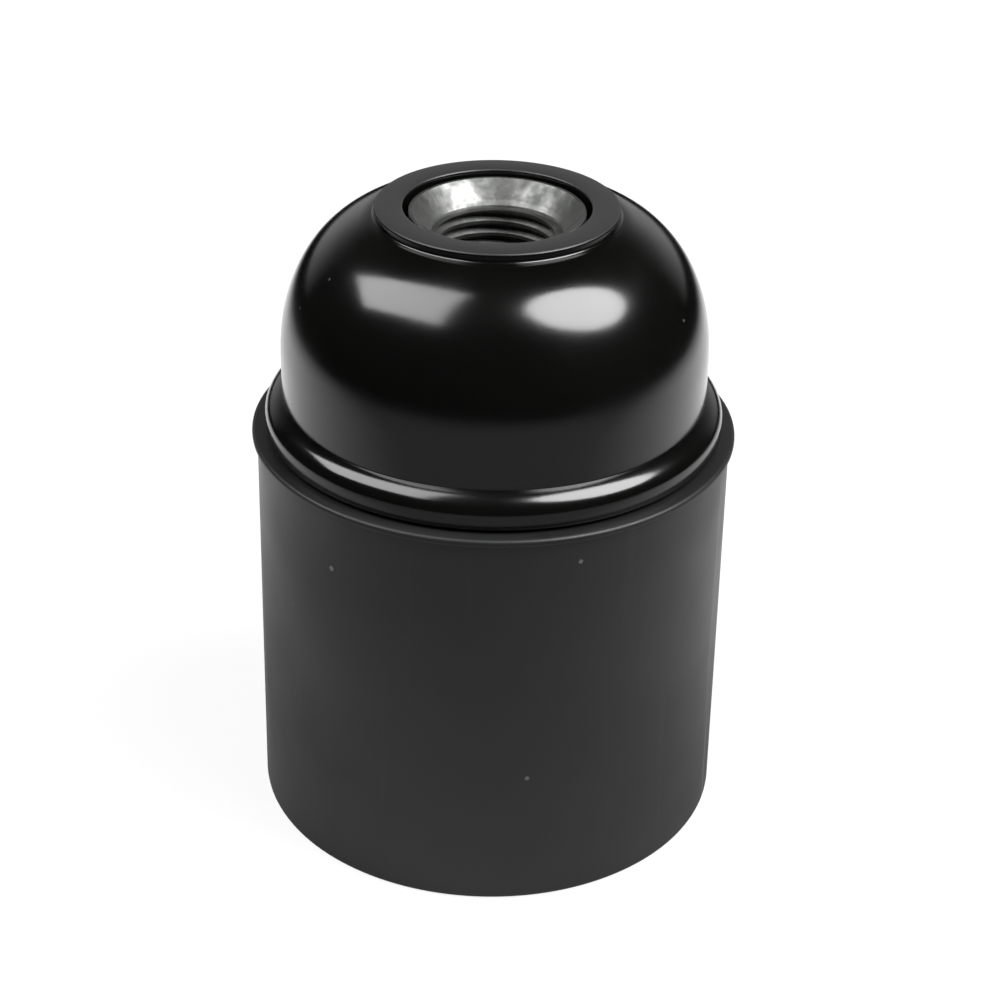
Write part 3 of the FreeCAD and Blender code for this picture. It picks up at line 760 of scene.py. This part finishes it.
def makeSpring(node, name):
    # the sheet metal's own shape, with every face cut finer
    takeUp(bpy.data.objects[node])
    bpy.ops.object.duplicate()
    spring = bpy.context.object
    bpy.ops.object.parent_clear(type="CLEAR_KEEP_TRANSFORM")
    settle(spring, name)
    bpy.ops.object.mode_set(mode="EDIT")
    bpy.ops.mesh.select_all(action="SELECT")
    bpy.ops.mesh.remove_doubles(threshold=weldGap)
    bpy.ops.mesh.subdivide(number_cuts=springCuts)
    bpy.ops.mesh.normals_make_consistent(inside=False)
    bpy.ops.object.mode_set(mode="OBJECT")
    smoothOff(spring)
    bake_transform(spring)
    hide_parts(node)


makeSpring("centre_contact", "centreSpring")
makeSpring("side_contact", "sideSpring")
print("contact springs made")


studio = {
    "floor": (0.86, 0.86, 0.86, 1), "floorRadius": 1.6, "floorSides": 96,
    "whiteShare": 0.86, "shadowReach": (0.1, 0.3),
    "mirroredFront": 0.14, "mirroredBack": 0.7, "mirroredDepth": 0.06, "paperEnd": 0.13, "paperFade": 0.08,
    "behind": 0.75, "behindRange": (0.6, 0.9), "lowRange": (0.2, 0.5), "room": 0.008, "fill": 0.3,
}


def makeFloor():
    deselectAll()
    bpy.ops.mesh.primitive_circle_add(vertices=studio["floorSides"], radius=studio["floorRadius"],
                                      fill_type="NGON", location=axis)
    floor = bpy.context.object
    floor.name = "floor"
    material = bpy.data.materials.new("paperFloor")
    material.use_nodes = True
    tree = material.node_tree
    tree.nodes.clear()
    out = addNode(tree, "ShaderNodeOutputMaterial", (800, 0))
    paper = addNode(tree, "ShaderNodeBsdfDiffuse", (200, 100))
    glow = addNode(tree, "ShaderNodeEmission", (200, -100))
    path = addNode(tree, "ShaderNodeLightPath", (-900, 400))
    # mirrored in the holder, the paper is dimmer in front and fades out into the room
    place = addNode(tree, "ShaderNodeTexCoord", (-900, 0))
    split = addNode(tree, "ShaderNodeSeparateXYZ", (-700, 0))
    tree.links.new(place.outputs["Object"], split.inputs[0])
    across = mapped(tree, split.outputs["Y"], (-500, 100), studio["mirroredFront"], studio["mirroredBack"],
                    -studio["mirroredDepth"], studio["mirroredDepth"])
    reach = addNode(tree, "ShaderNodeVectorMath", (-700, -200), operation="LENGTH")
    tree.links.new(place.outputs["Object"], reach.inputs[0])
    nearby = mapped(tree, reach.outputs["Value"], (-500, -150), 1, 0,
                    studio["paperEnd"], studio["paperEnd"] + studio["paperFade"])
    dimmed = addNode(tree, "ShaderNodeMath", (-300, 0), operation="MULTIPLY")
    tree.links.new(across, dimmed.inputs[0])
    tree.links.new(nearby, dimmed.inputs[1])
    colour = mixed(tree, path.outputs["Is Glossy Ray"], studio["floor"], dimmed.outputs[0], (0, 100))
    tree.links.new(colour, paper.inputs["Color"])
    # the camera sees white paper that keeps the holder's shadow near it
    share = mapped(tree, reach.outputs["Value"], (-300, 300), studio["whiteShare"], 1, *studio["shadowReach"])
    seen = addNode(tree, "ShaderNodeMath", (0, 400), operation="MULTIPLY")
    mix = addNode(tree, "ShaderNodeMixShader", (400, 0))
    tree.links.new(path.outputs["Is Camera Ray"], seen.inputs[0])
    tree.links.new(share, seen.inputs[1])
    tree.links.new(seen.outputs[0], mix.inputs[0])
    tree.links.new(paper.outputs[0], mix.inputs[1])
    tree.links.new(glow.outputs[0], mix.inputs[2])
    tree.links.new(mix.outputs[0], out.inputs["Surface"])
    floor.data.materials.append(material)


def makeSurroundings():
    # white paper behind the holder and a dark room in front of it
    world = bpy.data.worlds.new("studioRoom")
    bpy.context.scene.world = world
    world.use_nodes = True
    tree = world.node_tree
    tree.nodes.clear()
    out = addNode(tree, "ShaderNodeOutputWorld", (1000, 0))
    place = addNode(tree, "ShaderNodeTexCoord", (-800, 0))
    split = addNode(tree, "ShaderNodeSeparateXYZ", (-600, 0))
    tree.links.new(place.outputs["Generated"], split.inputs[0])
    back = mapped(tree, split.outputs["Y"], (-400, 100), 0, 1, *studio["behindRange"])
    low = mapped(tree, split.outputs["Z"], (-400, -200), 1, 0, *studio["lowRange"])
    paper = addNode(tree, "ShaderNodeMath", (-200, 0), operation="MULTIPLY")
    tree.links.new(back, paper.inputs[0])
    tree.links.new(low, paper.inputs[1])
    room = mapped(tree, paper.outputs[0], (0, 0), studio["room"], studio["behind"])
    path = addNode(tree, "ShaderNodeLightPath", (-400, 400))
    soft = mixedValue(tree, path.outputs["Is Diffuse Ray"], room, studio["fill"], (200, 100))
    strength = mixedValue(tree, path.outputs["Is Camera Ray"], soft, 1.0, (400, 200))
    light = addNode(tree, "ShaderNodeBackground", (700, 0))
    tree.links.new(strength, light.inputs["Strength"])
    tree.links.new(light.outputs[0], out.inputs["Surface"])


lampHeight = 0.6
lamps = {
    "lampLeft": {"shape": "RECTANGLE", "right": -0.51, "back": -0.02, "turn": -34,
                 "width": 0.72, "depth": 0.42, "power": 6.1},
    "lampRight": {"shape": "ELLIPSE", "right": 0.525, "back": -0.14, "turn": 4,
                  "width": 0.80, "depth": 0.53, "power": 12.4},
}


def overheadLamp(name):
    # a flat panel that faces down
    size = lamps[name]
    deselectAll()
    bpy.ops.object.light_add(type="AREA", location=(size["right"], size["back"], lampHeight),
                             rotation=(0, 0, math.radians(size["turn"])))
    lamp = bpy.context.object
    lamp.name = name
    lamp.data.shape = size["shape"]
    lamp.data.size = size["width"]
    lamp.data.size_y = size["depth"]
    lamp.data.energy = size["power"]


makeFloor()
makeSurroundings()
for name in lamps:
    overheadLamp(name)
print("studio made")

cameraPlace = {"back": -163.45, "up": 118.85, "down": 29.87, "roll": 1.064, "lens": 83.25, "sensor": 36,
               "shiftX": 0.0081, "shiftY": 0.0087, "nearest": 10}
bpy.ops.object.camera_add(location=(0, cameraPlace["back"] * mm, cameraPlace["up"] * mm))
camera = bpy.context.object
camera.rotation_euler = (math.radians(90 - cameraPlace["down"]), 0, 0)
camera.rotation_euler.rotate_axis("Z", math.radians(cameraPlace["roll"]))
camera.data.sensor_width = cameraPlace["sensor"]
camera.data.lens = cameraPlace["lens"]
camera.data.shift_x = cameraPlace["shiftX"]
camera.data.shift_y = cameraPlace["shiftY"]
camera.data.clip_start = cameraPlace["nearest"] * mm
bpy.context.scene.camera = camera
bpy.context.scene.view_settings.view_transform = "Standard"
print("camera set")

deselectAll()
